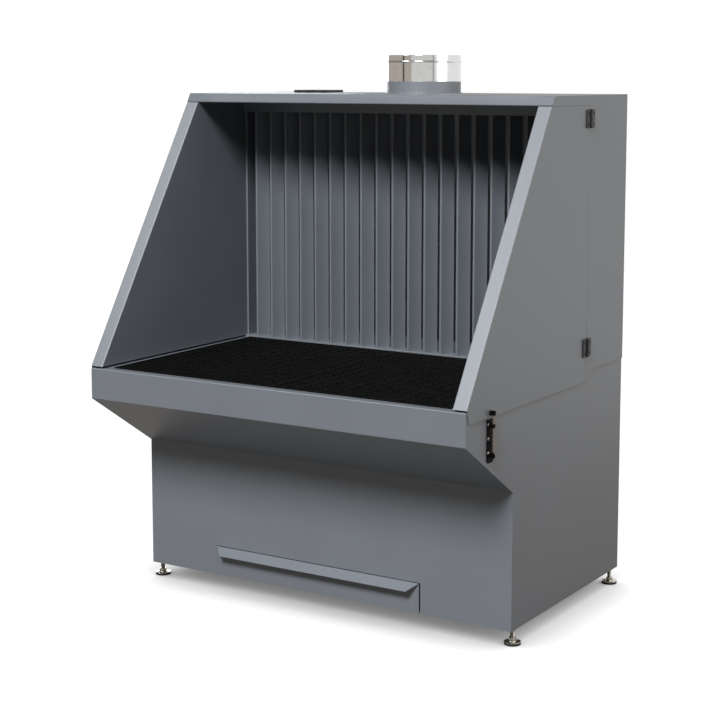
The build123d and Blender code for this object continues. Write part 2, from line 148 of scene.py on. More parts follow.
class TableColours(bpy.types.PropertyGroup):
    """Colours of the table's finishes."""

    coat: colour("Powder coat", "Slate grey of the satin powder coat", "#777c82")
    grating: colour("Grating", "Black of the dip-coated gratings", "#0a0a09")
    zinc: colour("Galvanised sheet", "Grey of bright zinc", "#b9bcbe")
    fittings: colour("Fittings", "Black of hinges, latches and roof cover", "#18181a")
    rubber: colour("Rubber", "Black of the rubber under the feet", "#1a1a1a")


class TableStudio(bpy.types.PropertyGroup):
    """Camera and light."""

    key_power: power("Key light", "Power of the high front light", 3150)
    rear_power: power("Rear light", "Power of the weak light behind the table", 110)
    side_power: power("Side light", "Power of the light on the right side", 16)
    ambient: FloatProperty(
        name="Ambient",
        description="Share of the surroundings that lights the table",
        default=0.21,
        min=0,
        max=2,
    )
    focal_length: FloatProperty(
        name="Focal length",
        description="Lens of the camera in millimetres",
        default=83.32,
        min=20,
        max=200,
    )


# Materials

MATERIALS = {}

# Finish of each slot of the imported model. A piece that differs names its own.
FINISHES = {
    "powder_coated_steel": "satin_powder_coat_on_steel",
    "black_grating_steel": "black_dip_coated_steel",
    "galvanised_inner_steel": "galvanised_inner_sheet",
    "galvanised_duct": "bright_galvanised_duct",
    "black_cover": "black_coated_cover",
    "black_hinge": "black_cast_hinge",
    "black_latch": "black_stamped_latch",
    "bright_steel": "bright_drawn_steel",
    "nickel_foot": "nickel_plated_steel",
}
PAINTED = "powder_coated_steel"


def add(tree, kind, settings=None, inputs=None):
    """Add one node with its settings, input values and links."""
    node = tree.nodes.new(kind)
    for name, value in (settings or {}).items():
        setattr(node, name, value)
    for name, value in (inputs or {}).items():
        if isinstance(value, bpy.types.NodeSocket):
            tree.links.new(value, node.inputs[name])
        else:
            node.inputs[name].default_value = value
    return node


def new_material(name):
    """Tree of a new empty material, and the place on the object in it."""
    material = bpy.data.materials.new(name)
    material.use_nodes = True
    tree = material.node_tree
    tree.nodes.clear()
    MATERIALS[name] = material
    return tree, add(tree, "ShaderNodeTexCoord").outputs["Object"]


def shade(tint, share):
    """A linear colour made lighter or darker by a share."""
    return (*[min(1.0, c * share) for c in tint[:3]], 1.0)


def ramp(tree, factor, stops):
    """Colour between (position, colour) stops."""
    node = add(tree, "ShaderNodeValToRGB", None, {"Fac": factor})
    band = node.color_ramp
    band.elements[0].position, band.elements[0].color = stops[0]
    band.elements[1].position, band.elements[1].color = stops[-1]
    for position, tint in stops[1:-1]:
        band.elements.new(position).color = tint
    return node.outputs["Color"]


def per_metre(size_mm):
    """Texture scale at which one cell of a pattern is size_mm across."""
    return 1000 / size_mm


def noise(tree, place, cell_mm, detail, roughness=0.5):
    """Soft random pattern."""
    inputs = {
        "Vector": place,
        "Scale": per_metre(cell_mm),
        "Detail": detail,
        "Roughness": roughness,
    }
    return add(tree, "ShaderNodeTexNoise", None, inputs).outputs["Fac"]


def between(tree, share, span):
    """Value in a span, for a share from 0 to 1."""
    inputs = {"Value": share, "To Min": span[0], "To Max": span[1]}
    return add(tree, "ShaderNodeMapRange", None, inputs).outputs["Result"]


def relief(tree, height, strength, depth_mm):
    """Normal of a surface with fine relief."""
    inputs = {"Strength": strength, "Distance": depth_mm * MM, "Height": height}
    return add(tree, "ShaderNodeBump", None, inputs).outputs["Normal"]


def surface(tree, inputs):
    """End a material with a surface that has these inputs."""
    shader = add(tree, "ShaderNodeBsdfPrincipled", None, inputs)
    add(tree, "ShaderNodeOutputMaterial", None, {"Surface": shader.outputs["BSDF"]})


def powder_coat(name, tint):
    """Satin powder coat, sprayed and baked on folded steel sheet."""
    # Baked powder flows out to a faint orange peel, so highlights on it are
    # soft and a little broken. Its cells are about 2 mm across, too fine to
    # show at this size, and are drawn 5 mm across.
    tree, place = new_material(name)
    peel = noise(tree, place, 5, 2)
    # Film thickness drifts over about 250 mm and moves the tone slightly.
    drift = noise(tree, place, 250, 3, 0.55)
    tones = [(0.3, shade(tint, 0.965)), (0.7, shade(tint, 1.035))]
    surface(
        tree,
        {
            "Base Color": ramp(tree, drift, tones),
            "Roughness": between(tree, drift, (0.42, 0.47)),
            "IOR": 1.5,
            "Specular IOR Level": 0.9,
            "Normal": relief(tree, peel, 0.35, 0.05),
        },
    )


def dipped_steel(name, tint):
    """Black dip-coated steel of the welded gratings."""
    # The dip leaves a slightly lumpy matt black film that the work wears
    # to a duller, greyer tone in patches some 40 mm across.
    tree, place = new_material(name)
    lumps = noise(tree, place, 3, 3)
    wear = noise(tree, place, 40, 4, 0.6)
    surface(
        tree,
        {
            "Base Color": ramp(tree, wear, [(0.4, tint), (0.75, shade(tint, 1.8))]),
            "Roughness": between(tree, wear, (0.42, 0.62)),
            "IOR": 1.5,
            "Specular IOR Level": 0.2,
            "Normal": relief(tree, lumps, 0.4, 0.1),
        },
    )


def galvanised(name, tint, gloss, spangle_mm, contrast):
    """Hot-dip galvanised sheet with its crystal spangle."""
    # Zinc freezes in crystals that each reflect a little differently, so the
    # sheet looks like a patchwork of slightly lighter and darker flakes.
    tree, place = new_material(name)
    inputs = {"Vector": place, "Scale": per_metre(spangle_mm)}
    flakes = add(tree, "ShaderNodeTexVoronoi", None, inputs).outputs["Color"]
    grey = add(tree, "ShaderNodeSeparateColor", None, {"Color": flakes})
    tones = [(0.0, shade(tint, 1 - contrast)), (1.0, shade(tint, 1 + contrast))]
    surface(
        tree,
        {
            "Base Color": ramp(tree, grey.outputs["Red"], tones),
            "Metallic": 1.0,
            "Roughness": between(tree, grey.outputs["Green"], gloss),
        },
    )


def cast_black(name, tint, gloss, grain_mm, shine=0.5):
    """Black powder-coated casting or stamping with a fine grain."""
    # A thin dark film over grainy metal: soft grey highlights on its edges.
    tree, place = new_material(name)
    grain = noise(tree, place, grain_mm, 3)
    surface(
        tree,
        {
            "Base Color": ramp(tree, grain, [(0.35, tint), (0.7, shade(tint, 1.35))]),
            "Roughness": between(tree, grain, gloss),
            "IOR": 1.5,
            "Specular IOR Level": shine,
            "Normal": relief(tree, grain, 0.3, 0.04),
        },
    )


def plated(name, tint, gloss, streak_mm):
    """Drawn or plated steel with fine marks along its length."""
    # Drawing and handling leave faint streaks that vary the gloss.
    tree, place = new_material(name)
    along = {"Vector": place, "Scale": (1, 1, 0.15)}
    stretched = add(tree, "ShaderNodeMapping", None, along).outputs["Vector"]
    streaks = noise(tree, stretched, streak_mm, 4)
    tones = [(0.3, shade(tint, 0.85)), (0.7, shade(tint, 1.08))]
    surface(
        tree,
        {
            "Base Color": ramp(tree, streaks, tones),
            "Metallic": 1.0,
            "Roughness": between(tree, streaks, gloss),
        },
    )


def moulded_rubber(name, tint):
    """Moulded rubber under the feet: matt, with a dusty bloom."""
    tree, place = new_material(name)
    bloom = noise(tree, place, 6, 4)
    tone = ramp(tree, bloom, [(0.4, tint), (0.8, shade(tint, 1.7))])
    surface(tree, {"Base Color": tone, "Roughness": 0.8, "IOR": 1.52})


# Mesh helpers

SIDES = ("right", "left")
NEAR = 0.1 * MM
SHARP = math.radians(60)
# Turns that let a round stand on a wall: outwards to the right, or backwards
TO_RIGHT = Matrix.Rotation(math.pi / 2, 4, "Y")
TO_REAR = Matrix.Rotation(-math.pi / 2, 4, "X")


def piece(
    name, bm, slot, body="cabinet", replaces=(), side=None, finish=None, angle=35
):
    """Turn a bmesh into a finished piece that rides on a body.

    The mesh is drawn for the right side, and side "left" mirrors it. Edges
    sharper than the angle in degrees stay sharp.
    """
    if side == "left":
        mirror = Matrix.Scale(-1, 4, (1, 0, 0))
        bmesh.ops.transform(bm, matrix=mirror, verts=bm.verts)
        bmesh.ops.reverse_faces(bm, faces=bm.faces)
    bmesh.ops.recalc_face_normals(bm, faces=bm.faces)
    mesh = bpy.data.meshes.new(name)
    bm.to_mesh(mesh)
    bm.free()
    mesh.polygons.foreach_set("use_smooth", [True] * len(mesh.polygons))
    mesh.set_sharp_from_angle(angle=math.radians(angle))
    mesh.materials.append(MATERIALS[finish or FINISHES[slot]])
    obj = bpy.data.objects.new(name, mesh)
    bpy.context.scene.collection.objects.link(obj)
    # Flat faces stay flat in the light beside their rounded edges.
    obj.modifiers.new("area_normals", "WEIGHTED_NORMAL").keep_sharp = True
    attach(obj, body)
    if replaces:
        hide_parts(*replaces)


def in_mm(*points):
    """Points given in millimetres."""
    return [(first * MM, second * MM) for first, second in points]


def arc(centre, radius, start, end, steps):
    """Points of an arc between two angles."""
    angles = [start + (end - start) * k / steps for k in range(steps + 1)]
    return [
        (centre[0] + radius * math.cos(a), centre[1] + radius * math.sin(a))
        for a in angles
    ]


def prism(bm, outline, direction, start, end):
    """Add a prism: outline in the two other axes, from start to end."""
    axis = "XYZ".index(direction)

    def corner(point, level):
        place = list(point)
        place.insert(axis, level)
        return place

    lower = [bm.verts.new(corner(p, start)) for p in outline]
    upper = [bm.verts.new(corner(p, end)) for p in outline]
    bm.faces.new(lower)
    bm.faces.new(list(reversed(upper)))
    for i in range(len(outline)):
        j = (i + 1) % len(outline)
        bm.faces.new((lower[i], upper[i], upper[j], lower[j]))


def slab(bm, low, high):
    """Add a box between two corners."""
    (x0, y0, z0), (x1, y1, z1) = low, high
    prism(bm, [(x0, y0), (x1, y0), (x1, y1), (x0, y1)], "Z", z0, z1)


def lathe(bm, profile, centre, steps=24, turn=Matrix.Identity(4)):
    """Add a closed round: (radius, height) points turned about Z."""
    rings = []
    for radius, height in profile:
        if radius == 0:
            places = [(0, 0)]
        else:
            places = arc((0, 0), radius, 0, 2 * math.pi, steps)[:-1]
        rings.append([bm.verts.new((*place, height)) for place in places])
    pairs = list(zip(rings, rings[1:]))
    if len(rings[0]) > 1 and len(rings[-1]) > 1:
        pairs.append((rings[-1], rings[0]))
    for a, b in pairs:
        for i in range(steps):
            j = (i + 1) % steps
            if len(a) == 1:
                bm.faces.new((a[0], b[j], b[i]))
            elif len(b) == 1:
                bm.faces.new((a[i], a[j], b[0]))
            else:
                bm.faces.new((a[i], a[j], b[j], b[i]))
    place = Matrix.Translation(Vector(centre)) @ turn
    bmesh.ops.transform(bm, matrix=place, verts=[v for ring in rings for v in ring])


def on(value, level):
    """Whether a value is at a level."""
    return abs(value - level) < NEAR


def pick(bm, test):
    """Edges whose two ends pass a test."""
    return [e for e in bm.edges if test(e.verts[0].co, e.verts[1].co)]


def rim(bm, direction, level):
    """Sharp edges that lie at one level along an axis."""
    axis = "XYZ".index(direction)
    edges = pick(bm, lambda a, b: on(a[axis], level) and on(b[axis], level))
    return [e for e in edges if e.calc_face_angle(0) > SHARP]


def soften(bm, edges, radius, segments=3):
    """Round some edges."""
    bmesh.ops.bevel(
        bm,
        geom=edges,
        offset=radius,
        offset_type="OFFSET",
        segments=segments,
        profile=0.5,
        affect="EDGES",
        clamp_overlap=True,
    )


def rounded_path(points, radius, steps=5):
    """Open path with its inner corners rounded."""
    path = [Vector(points[0])]
    for before, corner, after in zip(points, points[1:], points[2:]):
        before, corner, after = Vector(before), Vector(corner), Vector(after)
        u = (before - corner).normalized()
        v = (after - corner).normalized()
        half = math.acos(max(-1.0, min(1.0, u.dot(v)))) / 2
        reach = radius / math.tan(half)
        middle = corner + (u + v).normalized() * (radius / math.sin(half))
        a, b = corner + u * reach - middle, corner + v * reach - middle
        swing = a.angle_signed(b)
        for k in range(steps + 1):
            turned = a.copy()
            turned.rotate(Matrix.Rotation(-swing * k / steps, 2))
            path.append(middle + turned)
    path.append(Vector(points[-1]))
    return path


def folded_sheet(points, bend, thickness):
    """Closed outline of a folded sheet lying to the left of a path."""
    path = rounded_path(points, bend)
    shifted = []
    for i, point in enumerate(path):
        ahead = path[min(i + 1, len(path) - 1)] - point
        behind = point - path[max(i - 1, 0)]
        directions = [d.normalized() for d in (behind, ahead) if d.length > 1e-9]
        mean = sum(directions, Vector((0, 0))).normalized()
        normal = Vector((-mean.y, mean.x))
        # The limit keeps a very sharp fold from running out to a spike.
        spread = max(0.2, normal.dot(Vector((-directions[0].y, directions[0].x))))
        shifted.append(point + normal * thickness / spread)
    return path + shifted[::-1]


def dome(radius, height, steps=4):
    """Profile of a low domed head standing on z = 0."""
    # A quarter of the height is an upright rim, the rest is the crown.
    upright = 0.25
    profile = [(0, 0), (radius, 0), (radius, height * upright)]
    for k in range(1, steps):
        angle = math.pi / 2 * k / steps
        rise = upright + (1 - upright) * math.sin(angle)
        profile.append((radius * math.cos(angle), height * rise))
    return [*profile, (0, height)]


# Operators


class TABLE_OT_finishes(bpy.types.Operator):
    """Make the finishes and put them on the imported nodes"""

    bl_idname = "table.finishes"
    bl_label = "Finishes"

    def execute(self, context):
        colours = context.scene.table_colours
        zinc = tuple(colours.zinc)
        black = tuple(colours.fittings)
        powder_coat("satin_powder_coat_on_steel", tuple(colours.coat))
        dipped_steel("black_dip_coated_steel", tuple(colours.grating))
        galvanised("galvanised_inner_sheet", zinc, (0.34, 0.5), 14, 0.1)
        galvanised("bright_galvanised_duct", shade(zinc, 1.5), (0.08, 0.13), 9, 0.03)
        cast_black("black_coated_cover", black, (0.42, 0.52), 3)
        cast_black("black_cast_hinge", black, (0.36, 0.5), 1.5)
        cast_black("black_stamped_latch", shade(black, 0.3), (0.5, 0.62), 1.5, 0.05)
        plated("bright_drawn_steel", linear("#b5afa6"), (0.22, 0.36), 1.5)
        plated("dark_drawn_steel", linear("#857a6f"), (0.34, 0.5), 1.5)
        plated("nickel_plated_steel", linear("#c9c6be"), (0.14, 0.26), 3)
        moulded_rubber("moulded_black_rubber", tuple(colours.rubber))
        slots = {
            row["node"]: row["material_slot"] for row in frame["record"]["subparts"]
        }
        for name, node in NODES.items():
            finish = MATERIALS[FINISHES[slots[name]]]
            materials = node.data.materials
            if len(materials) == 0:
                materials.append(finish)
            for index in range(len(materials)):
                materials[index] = finish
        return {"FINISHED"}


class TABLE_OT_wings(bpy.types.Operator):
    """Build the two side wings with their folded edges and skirts"""

    bl_idname = "table.wings"
    bl_label = "Side wings"

    def execute(self, context):
        sizes = context.scene.table_sizes
        corners = [v.co for v in NODES["wing_right_inner"].data.vertices]
        top = max(c.z for c in corners)
        foot = min(c.z for c in corners)
        front_foot = min(c.y for c in corners)
        front_top = min(c.y for c in corners if c.z > top - MM)
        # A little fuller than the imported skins, so the seams stay hairlines
        rear = max(c.y for c in corners) + MM
        top += MM
        # The shadow gap under a wing shows above the lip and inside.
        shadow_gap = 4 * MM
        foot += shadow_gap
        outline = [(front_foot, foot), (rear, foot), (rear, top), (front_top, top)]
        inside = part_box("wing_right_inner")[0].x
        outer_low, outer_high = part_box("wing_right_outer")
        outside = outer_high.x
        # The skirt is the outer skin alone, which laps over the base.
        skirt_foot = outer_low.z
        skirt_sheet, hem_round = 2 * MM, 1.6 * MM
        skirt_top_inset, skirt_foot_inset = 3 * MM, 17 * MM
        skirt = [
            (front_foot + skirt_foot_inset, skirt_foot),
            (rear, skirt_foot),
            (rear, foot),
            (front_foot + skirt_top_inset, foot),
        ]

        def at_front(corner):
            return on(corner.y, front_foot) or on(corner.y, front_top)

        def off_foot(corner):
            return corner.z > foot + MM or corner.x < outside - MM

        for side in SIDES:
            bm = bmesh.new()
            prism(bm, outline, "X", inside, outside)
            slanted = pick(
                bm, lambda a, b: at_front(a) and at_front(b) and not on(a.z, b.z)
            )
            soften(bm, slanted, sizes.edge_round, segments=5)
            others = pick(bm, lambda a, b: off_foot(a) or off_foot(b))
            others = [e for e in others if e.calc_face_angle(0) > SHARP]
            soften(bm, others, sizes.small_round, segments=2)
            skins = [f"wing_{side}_outer", f"wing_{side}_inner"]
            piece(f"wing_{side}_panel", bm, PAINTED, f"wing_{side}", skins, side)
            bm = bmesh.new()
            prism(bm, skirt, "X", outside - skirt_sheet, outside)
            hem = pick(
                bm,
                lambda a, b: on(a.z, skirt_foot)
                and on(b.z, skirt_foot)
                and on(a.x, outside)
                and on(b.x, outside),
            )
            soften(bm, hem, hem_round)
            piece(f"wing_{side}_skirt", bm, PAINTED, f"wing_{side}", side=side)
        return {"FINISHED"}


class TABLE_OT_louvres(bpy.types.Operator):
    """Build the upright louvres of the suction wall"""

    bl_idname = "table.louvres"
    bl_label = "Louvres"

    def execute(self, context):
        sizes = context.scene.table_sizes
        names = sorted(n for n in NODES if n.startswith("slat_") and n != "slat_sill")
        sheet = 1.5 * MM
        # A low rail carries the louvres, just in front of their noses.
        rail_height, rail_lead, rail_bend = 8 * MM, 1 * MM, 2 * MM
        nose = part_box(names[0])[0].y
        low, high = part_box("slat_sill")
        foot = low.z + rail_height
        front = nose - rail_lead
        section = [(front, low.z), (front, foot), (high.y, foot), (high.y, low.z)]
        bm = bmesh.new()
        prism(bm, folded_sheet(section, rail_bend, -sheet), "X", low.x, high.x)
        piece("slat_sill_rail", bm, PAINTED, replaces=["slat_sill"])
        # The face of a louvre curves back, steepest just behind the nose.
        lip_depth, steepness, facets = 8 * MM, 1.3, 5
        width = sizes.louvre_width - sizes.louvre_nose
        for name in names:
            low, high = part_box(name)
            points = [(low.x, nose + lip_depth), (low.x, nose)]
            for share in [k / facets for k in range(facets + 1)]:
                fall = share * (steepness - (steepness - 1) * share)
                x = low.x + sizes.louvre_nose + width * share
                points.append((x, nose + sizes.louvre_rake * fall))
            bm = bmesh.new()
            prism(bm, folded_sheet(points, sizes.louvre_bend, sheet), "Z", foot, high.z)
            piece(name + "_louvre", bm, PAINTED, replaces=[name])
        # Each post is an angle: a narrow front flange and a deep web behind it.
        flange_out, flange_in, web = 10 * MM, 6 * MM, 59 * MM
        wing_gap, post_bend = 2 * MM, 1.4 * MM
        low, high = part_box("housing_posts")
        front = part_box("wing_right_inner")[1].y + wing_gap
        back = front + web
        edge = high.x - flange_in
        outline = [
            (high.x + flange_out, front),
            (high.x + flange_out, front + sheet),
            (edge + sheet, front + sheet),
            (edge + sheet, back),
            (edge, back),
            (edge, front),
        ]

        def at_bend(corner):
            return on(corner.x, edge) and on(corner.y, front)

        for side in SIDES:
            bm = bmesh.new()
            prism(bm, outline, "Z", foot, high.z)
            bend = pick(bm, lambda a, b: at_bend(a) and at_bend(b))
            soften(bm, bend, post_bend)
            piece(
                f"housing_post_{side}",
                bm,
                PAINTED,
                replaces=["housing_posts"],
                side=side,
            )
        return {"FINISHED"}


class TABLE_OT_drawer(bpy.types.Operator):
    """Build the drawer front with its folded grip lip"""

    bl_idname = "table.drawer_front"
    bl_label = "Drawer front"

    def execute(self, context):
        low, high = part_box("drawer_front")
        # In the photo the front hangs a little higher and further left than
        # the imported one, and its lip falls further.
        rise, drop, shift = 4.9 * MM, 27 * MM, 2.6 * MM
        sheet, bend = 2 * MM, 2.2 * MM
        top = high.z + rise
        section = [(high.y, low.z), (high.y, top), (low.y, top - drop)]
        bm = bmesh.new()
        outline = folded_sheet(section, bend, sheet)
        prism(bm, outline, "X", low.x - shift, high.x - shift)
        # The ends of the lip are trimmed at 45 degrees.
        face = high.y - sheet
        for v in bm.verts:
            if v.co.y < face:
                v.co.x += (face - v.co.y) * (1 if v.co.x < 0 else -1)
        piece("drawer_front_lip", bm, PAINTED, "drawer", ["drawer_front"])
        return {"FINISHED"}


class TABLE_OT_gratings(bpy.types.Operator):
    """Build the two welded gratings bar by bar"""

    bl_idname = "table.gratings"
    bl_label = "Gratings"

    def execute(self, context):
        sizes = context.scene.table_sizes
        bar = 3 * MM
        # The inner bars stand a little lower than the frame, and the rods lie
        # pressed into them.
        bar_drop, rod_drop = 0.4 * MM, 3.2 * MM
        for side in SIDES:
            low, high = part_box(f"grating_{side}")
            high.z += sizes.bar_stand
            left, right = low.x + bar, high.x - bar
            front, rear = low.y + bar, high.y - bar
            bm = bmesh.new()
            slab(bm, low, (high.x, front, high.z))
            slab(bm, (low.x, rear, low.z), high)
            slab(bm, (low.x, front, low.z), (left, rear, high.z))
            slab(bm, (right, front, low.z), (high.x, rear, high.z))
            count = round((high.y - low.y) / sizes.bar_pitch)
            step = (high.y - low.y - bar) / count
            for k in range(1, count):
                y = low.y + k * step
                slab(bm, (left, y, low.z), (right, y + bar, high.z - bar_drop))
            rods = round((high.x - low.x) / sizes.rod_pitch)
            reach = (high.x - low.x - bar) / rods
            for k in range(1, rods):
                twisted_rod(bm, low.x + k * reach, front, rear, high.z - rod_drop)
            piece(
                f"grating_{side}_mat",
                bm,
                "black_grating_steel",
                f"grating_{side}_panel",
                [f"grating_{side}"],
            )
        return {"FINISHED"}


def twisted_rod(bm, x, y0, y1, z):
    """Add a square rod, twisted along Y, as pressed into a grating."""
    half_diagonal = 2.9 * MM
    turns_per_metre, rings_per_turn = 20, 8
    steps = max(2, round((y1 - y0) * turns_per_metre * rings_per_turn))
    rings = []
    for k in range(steps + 1):
        y = y0 + (y1 - y0) * k / steps
        angle = 2 * math.pi * turns_per_metre * (y - y0)
        square = arc((x, z), half_diagonal, angle, angle + 2 * math.pi, 4)[:-1]
        rings.append([bm.verts.new((px, y, pz)) for px, pz in square])
    for a, b in zip(rings, rings[1:]):
        for i in range(4):
            j = (i + 1) % 4
            bm.faces.new((a[i], b[i], b[j], a[j]))
    bm.faces.new(rings[0])
    bm.faces.new(list(reversed(rings[-1])))


class TABLE_OT_duct(bpy.types.Operator):
    """Build the painted collar and the galvanised nipple"""

    bl_idname = "table.duct"
    bl_label = "Duct outlet"

    def execute(self, context):
        steps = context.scene.table_sizes.round_steps
        low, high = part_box("duct_collar")
        centre = ((low.x + high.x) / 2, (low.y + high.y) / 2, 0)
        # The collar is a tube on a flange, with a small weld between them.
        outer, sheet, weld, edge = 140 * MM, 2 * MM, 2 * MM, 0.6 * MM
        flange = (high.x - low.x) / 2
        flange_top = low.z + sheet
        collar = [
            (outer - sheet, low.z),
            (flange, low.z),
            (flange, flange_top - edge),
            (flange - edge, flange_top),
            (outer + weld, flange_top),
            (outer + edge, flange_top + edge),
            (outer, flange_top + weld),
            (outer, high.z - edge),
            (outer - edge, high.z),
            (outer - sheet, high.z),
        ]
        bm = bmesh.new()
        lathe(bm, collar, centre, steps)
        piece("duct_collar_ring", bm, PAINTED, replaces=["duct_collar"])
        # The nipple is plugged into the collar. It widens to a shoulder on the
        # collar, and has a rolled bead under its rim.
        foot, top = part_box("duct_nipple")
        seat, rim_z = high.z, top.z
        wall, fit, play = 1.5 * MM, 0.05 * MM, 0.1 * MM
        plug = outer - sheet - fit
        skin, bore = outer - 0.2 * MM, outer - wall - 0.6 * MM
        shoulder_in, shoulder_up = 0.3 * MM, 1 * MM
        bead_z = seat + 74 * MM
        bead_reach, bead_half, bead_flat = 2.4 * MM, 3.2 * MM, 4 * MM
        rim_in, rim_down = 0.5 * MM, 0.8 * MM
        bore_out, bore_down, bore_up = 0.2 * MM, 1 * MM, 4 * MM
        nipple = [
            (plug - wall, foot.z),
            (plug, foot.z),
            (plug, seat + play),
            (skin - shoulder_in, seat + play),
            (skin, seat + shoulder_up),
            (skin, bead_z - bead_flat),
        ]
        for reach, rise in arc((0, 0), 1, -math.pi / 2, math.pi / 2, 8):
            nipple.append((skin + bead_reach * reach, bead_z + bead_half * rise))
        nipple += [
            (skin, bead_z + bead_flat),
            (skin, rim_z - rim_down),
            (skin - rim_in, rim_z),
            (bore + bore_out, rim_z),
            (bore, rim_z - bore_down),
            (bore, seat + bore_up),
        ]
        bm = bmesh.new()
        lathe(bm, nipple, centre, steps)
        # The lapped seam of the rolled sheet stands a little proud of the wall.
        # Its place and half width are angles about the duct, in radians.
        seam_place, seam_half = math.radians(-102), math.radians(2)
        seam_root, seam_reach, seam_up = 0.6 * MM, 0.8 * MM, 2 * MM
        ends = (seam_place - seam_half, seam_place + seam_half)
        seam = arc(centre, outer - seam_root, *ends, 4)
        seam += arc(centre, outer + seam_reach, *reversed(ends), 4)
        prism(bm, seam, "Z", seat + seam_up, bead_z - bead_flat)
        piece(
            "duct_nipple_pipe",
            bm,
            "galvanised_duct",
            replaces=["duct_nipple"],
            angle=50,
        )
        return {"FINISHED"}


class TABLE_OT_cover(bpy.types.Operator):
    """Build the low cover on the roof with its rounded edges"""

    bl_idname = "table.cover"
    bl_label = "Roof cover"

    def execute(self, context):
        corner_round, top_round = 12 * MM, 2.5 * MM
        low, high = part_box("roof_cover")
        bm = bmesh.new()
        slab(bm, low, high)
        upright = pick(bm, lambda a, b: not on(a.z, b.z))
        soften(bm, upright, corner_round, segments=5)
        soften(bm, rim(bm, "Z", high.z), top_round)
        piece("roof_cover_plate", bm, "black_cover", replaces=["roof_cover"])
        return {"FINISHED"}


# A hinge: half its height, the radius of its knuckles and its leaves' sheet
HINGE_HALF = 32.5 * MM
KNUCKLE = 6 * MM
LEAF = 5 * MM


class TABLE_OT_hinges(bpy.types.Operator):
    """Build the surface hinges with their screws and pins"""

    bl_idname = "table.hinges"
    bl_label = "Hinges"

    def execute(self, context):
        axis_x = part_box("wing_right_hinge_leaves")[1].x - KNUCKLE
        pin_low, pin_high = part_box("hinge_pins")
        axis_y = (pin_low.y + pin_high.y) / 2
        pins = [v.co.z for v in NODES["hinge_pins"].data.vertices]
        heights = (min(pins) + HINGE_HALF, max(pins) - HINGE_HALF)
        face = axis_x - KNUCKLE + LEAF
        head_radius, head_height = 4 * MM, 1.1 * MM
        head = dome(head_radius, head_height)
        screw_reach, screw_lift = 22 * MM, 19 * MM
        for side in SIDES:
            wing = f"wing_{side}"
            for kind, way, body, node in (
                ("fixed", 1, "cabinet", "hinge_fixed_leaves"),
                ("wing", -1, wing, f"{wing}_hinge_leaves"),
            ):
                bm = bmesh.new()
                for height in heights:
                    hinge_leaf(bm, axis_x, axis_y, height, way)
                name = f"hinge_{side}_{kind}"
                piece(f"{name}_leaves", bm, "black_hinge", body, [node], side)
                bm = bmesh.new()
                y = axis_y + way * screw_reach
                for height in heights:
                    for lift in (-screw_lift, screw_lift):
                        place = (face, y, height + lift)
                        lathe(bm, head, place, steps=20, turn=TO_RIGHT)
                piece(
                    f"{name}_screws",
                    bm,
                    "black_hinge",
                    body,
                    side=side,
                    finish="black_stamped_latch",
                )
        radius, tip, chamfer = 3.45 * MM, 2.9 * MM, 0.6 * MM
        pin = [
            (0, -HINGE_HALF),
            (tip, -HINGE_HALF),
            (radius, -HINGE_HALF + chamfer),
            (radius, HINGE_HALF - chamfer),
            (tip, HINGE_HALF),
            (0, HINGE_HALF),
        ]
        bm = bmesh.new()
        for sign in (1, -1):
            for height in heights:
                lathe(bm, pin, (sign * axis_x, axis_y, height))
        piece("hinge_pins_steel", bm, "bright_steel", replaces=["hinge_pins"])
        return {"FINISHED"}


def hinge_leaf(bm, axis_x, axis_y, height, way):
    """Add one cast leaf with its knuckles; way +1 is the fixed one."""
    pin_gap, reach, overlap = 6.4 * MM, 32 * MM, 1 * MM
    corner_round, face_round = 5 * MM, 1.3 * MM
    near, far = axis_y + way * pin_gap, axis_y + way * reach
    back = axis_x - KNUCKLE
    face = back + LEAF
    part = bmesh.new()
    slab(
        part,
        (back, min(near, far), height - HINGE_HALF),
        (face, max(near, far), height + HINGE_HALF),
    )
    corners = pick(part, lambda a, b: not on(a.x, b.x) and on(a.y, far))
    soften(part, corners, corner_round, segments=4)
    soften(part, rim(part, "X", face), face_round)
    # The wing's leaf has the middle knuckle, the fixed one the other two.
    middle, play = 13 * MM, 0.4 * MM
    bore, chamfer, root_inset = 3.5 * MM, 0.6 * MM, 0.2 * MM
    spans = [(-middle, middle)]
    if way > 0:
        spans = [(-HINGE_HALF, -middle - play), (middle + play, HINGE_HALF)]
    root = near + way * overlap
    for z0, z1 in spans:
        slab(
            part,
            (back + root_inset, min(axis_y, root), height + z0),
            (face - root_inset, max(axis_y, root), height + z1),
        )
        tall = z1 - z0
        knuckle = [
            (bore, 0),
            (KNUCKLE - chamfer, 0),
            (KNUCKLE, chamfer),
            (KNUCKLE, tall - chamfer),
            (KNUCKLE - chamfer, tall),
            (bore, tall),
        ]
        lathe(part, knuckle, (axis_x, axis_y, height + z0), steps=28)
    mesh = bpy.data.meshes.new("leaf")
    part.to_mesh(mesh)
    part.free()
    bm.from_mesh(mesh)
    bpy.data.meshes.remove(mesh)


